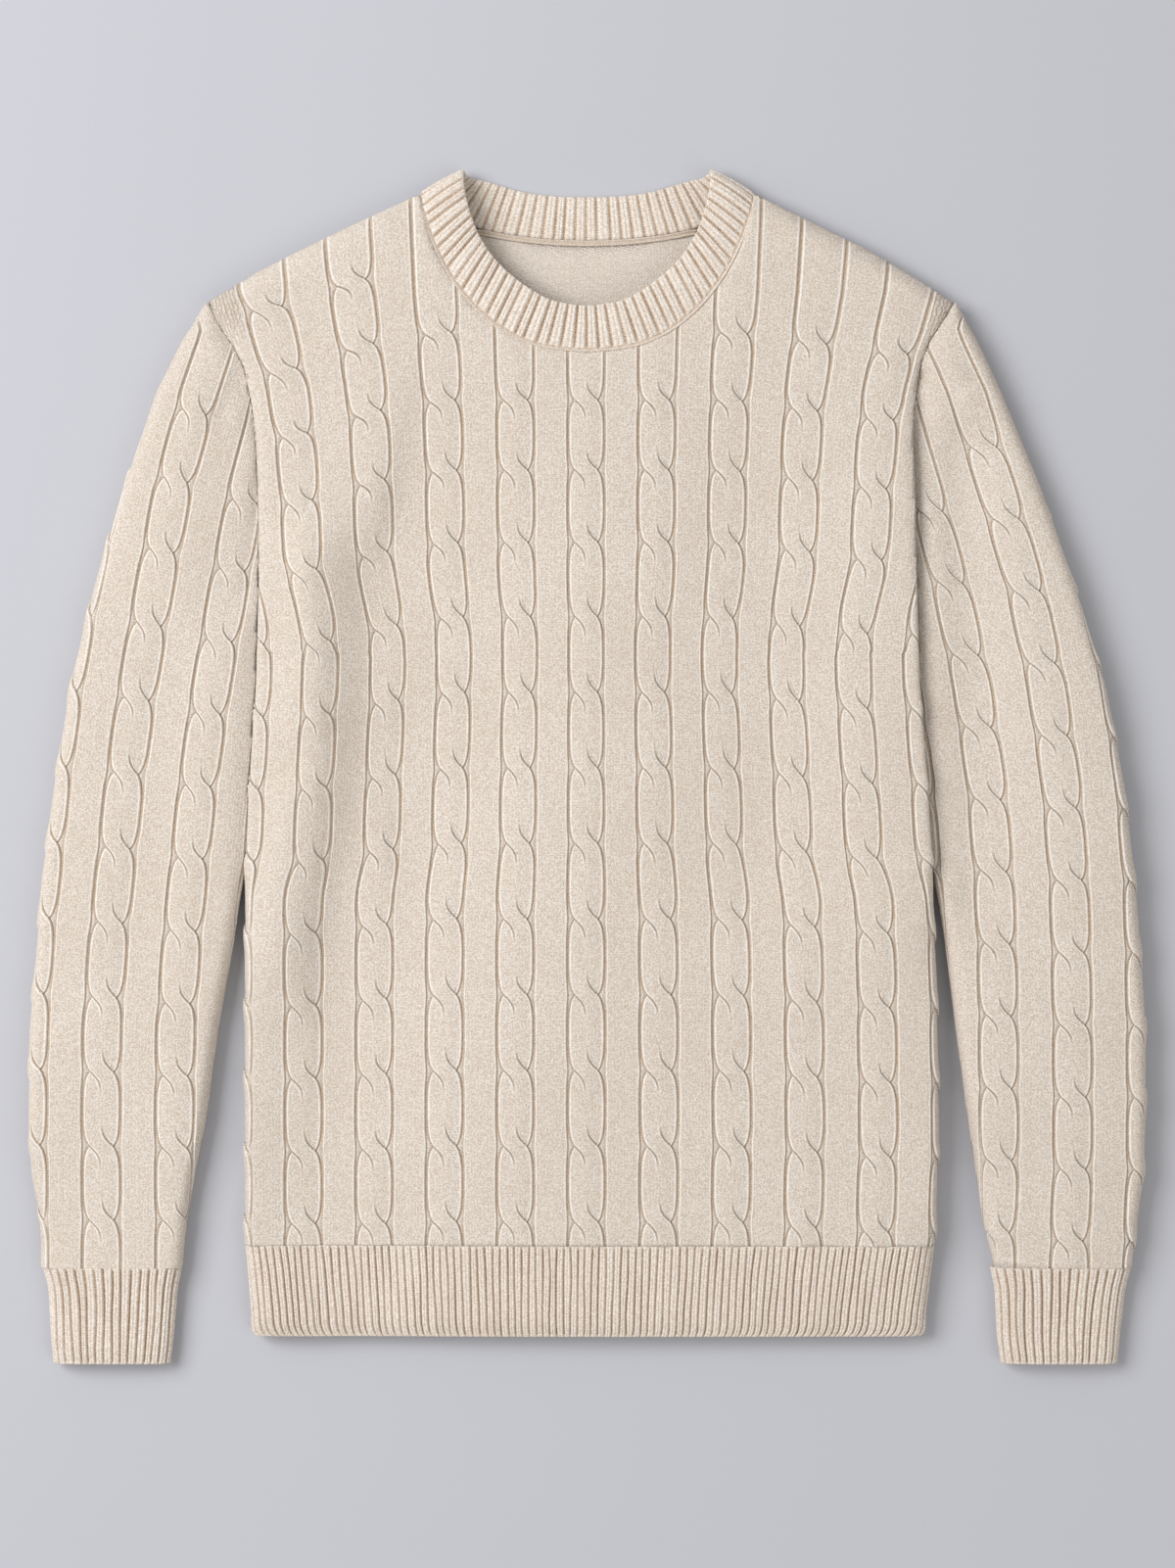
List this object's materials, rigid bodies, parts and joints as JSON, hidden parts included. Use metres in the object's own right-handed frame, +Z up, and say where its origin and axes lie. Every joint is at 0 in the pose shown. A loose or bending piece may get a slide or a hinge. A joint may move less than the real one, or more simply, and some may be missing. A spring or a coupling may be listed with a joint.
{
  "type": "cable knit sweater",
  "caption": "Crew-neck wool sweater with rope cables on body and sleeves, ribbed neckband, cuffs and hem, laid flat front up.",
  "frame": {"origin": "middle of the garment's outline, on the surface it lies on", "axes": "+X to the wearer's left, +Y towards the collar, +Z up through the front"},
  "size_m": [0.6845, 0.7315, 0.0236],
  "materials": {
    "cable_knit": "matt oatmeal wool, cabled jersey",
    "rib_knit": "matt oatmeal wool, ribbed",
    "seam_yarn": "matt oatmeal wool, linked seam"
  },
  "bodies": {
    "root": {"front_panel": "cable_knit", "back_panel": "cable_knit", "right_sleeve_top": "cable_knit", "right_sleeve_under": "cable_knit", "left_sleeve_top": "cable_knit", "left_sleeve_under": "cable_knit", "front_hem_rib": "rib_knit", "back_hem_rib": "rib_knit", "right_cuff": "rib_knit", "left_cuff": "rib_knit", "neckband": "rib_knit", "neck_seam_tape": "seam_yarn"}
  },
  "joints": []
}
